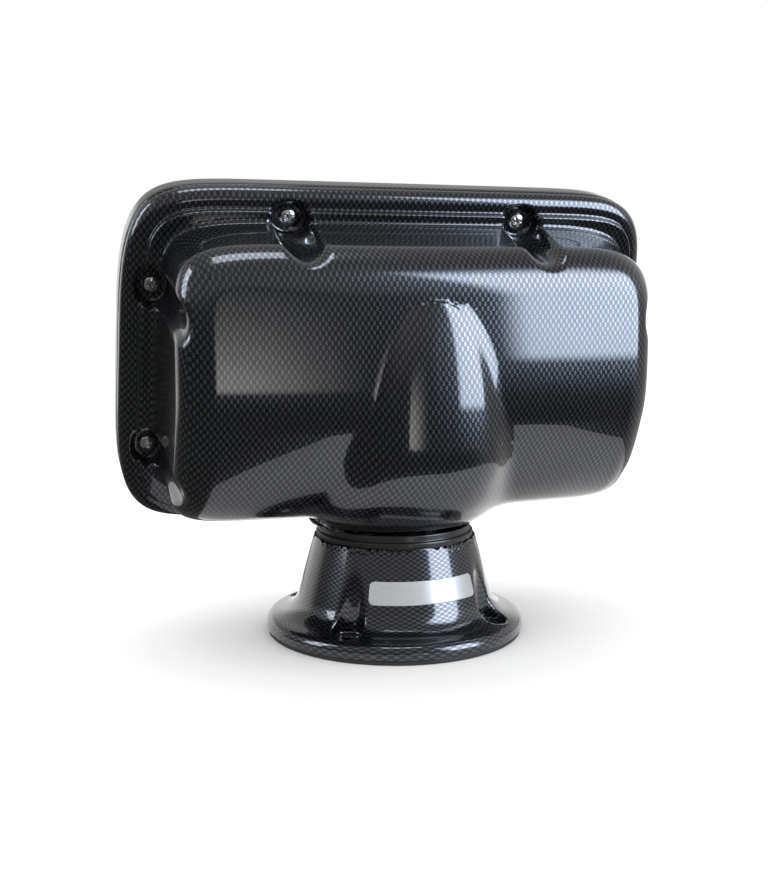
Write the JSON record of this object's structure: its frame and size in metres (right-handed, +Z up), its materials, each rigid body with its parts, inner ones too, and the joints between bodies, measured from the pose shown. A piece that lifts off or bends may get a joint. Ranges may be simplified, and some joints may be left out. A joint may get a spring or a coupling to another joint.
{
  "type": "marine instrument pod",
  "caption": "Clamshell marine instrument pod with a built-in display, on a round deck pedestal that swivels and tilts.",
  "frame": {"origin": "centre of the base's underside, where the swivel axis meets the deck", "axes": "+Z up along the swivel axis, the display looks along -Y, the moulded back along +Y, +X across the pod"},
  "size_m": [0.288, 0.1405, 0.239],
  "materials": {
    "carbon_gloss": "glossy clear coat over a printed dark carbon weave",
    "black_moulding": "satin black moulding",
    "black_rubber": "matt black rubber",
    "key_rubber": "soft dark grey rubber",
    "stainless": "polished marine stainless",
    "cast_aluminium": "satin anodised",
    "brass": "machined",
    "label_film": "blank silver-white film",
    "bearing_plastic": "ivory bearing plastic",
    "cover_lens": "dark cover lens",
    "lcd_glass": "unlit screen",
    "circuit_board": "solder mask",
    "pressed_steel": "plated"
  },
  "bodies": {
    "base": {"pedestal": "carbon_gloss", "deck_gasket": "black_rubber", "blank_label": "label_film", "thrust_ring": "black_rubber", "swivel_bush": "bearing_plastic", "stop_pin": "stainless"},
    "swivel": {"swivel_collar": "black_moulding", "wave_washer": "stainless", "ring_nut": "brass", "tilt_yoke": "cast_aluminium", "yoke_screws": "stainless"},
    "pod": {"rear_shell": "carbon_gloss", "front_shell": "carbon_gloss", "shell_gasket": "black_rubber", "shell_screws": "stainless", "shell_inserts": "brass", "tilt_frame": "cast_aluminium", "frame_screws": "stainless", "pivot_bolt": "stainless", "pivot_bushes": "bearing_plastic", "pivot_washers": "stainless", "pivot_nut": "stainless", "display_gasket": "black_rubber", "display_bezel": "black_moulding", "cover_glass": "cover_lens", "lcd_panel": "lcd_glass", "display_case": "black_moulding", "main_board": "circuit_board", "key_board": "circuit_board", "bezel_studs": "stainless", "stud_nuts": "brass", "rear_sockets": "black_moulding", "socket_caps": "black_rubber", "encoder": "pressed_steel", "card_reader": "pressed_steel", "door_pin": "stainless"},
    "knob": {"rotary_knob": "black_moulding", "knob_shaft": "stainless"},
    "select": {"select_button": "cast_aluminium"},
    "power": {"power_key": "key_rubber"},
    "menu": {"menu_key": "key_rubber"},
    "page": {"page_key": "key_rubber"},
    "mark": {"mark_key": "key_rubber"},
    "door": {"card_door": "black_moulding"}
  },
  "joints": [
    {"name": "swivel", "type": "hinge", "parent": "base", "child": "swivel", "pos_m": [0, 0, 0.05], "axis": [0, 0, 1], "range_deg": [-168, 168]},
    {"name": "tilt", "type": "hinge", "parent": "swivel", "child": "pod", "pos_m": [0, 0, 0.105], "axis": [1, 0, 0], "range_deg": [-10, 1]},
    {"name": "knob_turn", "type": "hinge", "parent": "pod", "child": "knob", "pos_m": [0.09, -0.05364, 0.12859], "axis": [0, 0.9397, -0.342], "continuous": true},
    {"name": "select_press", "type": "slide", "parent": "knob", "child": "select", "axis": [0, 0.9397, -0.342], "range_m": [0, 0.0008], "stiffness_N_per_m": 700, "springref_m": -0.0006},
    {"name": "power_press", "type": "slide", "parent": "pod", "child": "power", "axis": [0, 0.9397, -0.342], "range_m": [0, 0.0008], "stiffness_N_per_m": 700, "springref_m": -0.0006},
    {"name": "menu_press", "type": "slide", "parent": "pod", "child": "menu", "axis": [0, 0.9397, -0.342], "range_m": [0, 0.0008], "stiffness_N_per_m": 700, "springref_m": -0.0006},
    {"name": "page_press", "type": "slide", "parent": "pod", "child": "page", "axis": [0, 0.9397, -0.342], "range_m": [0, 0.0008], "stiffness_N_per_m": 700, "springref_m": -0.0006},
    {"name": "mark_press", "type": "slide", "parent": "pod", "child": "mark", "axis": [0, 0.9397, -0.342], "range_m": [0, 0.0008], "stiffness_N_per_m": 700, "springref_m": -0.0006},
    {"name": "door_hinge", "type": "hinge", "parent": "pod", "child": "door", "pos_m": [-0.062, -0.05858, 0.10038], "axis": [1, 0, 0], "range_deg": [0, 95]}
  ]
}
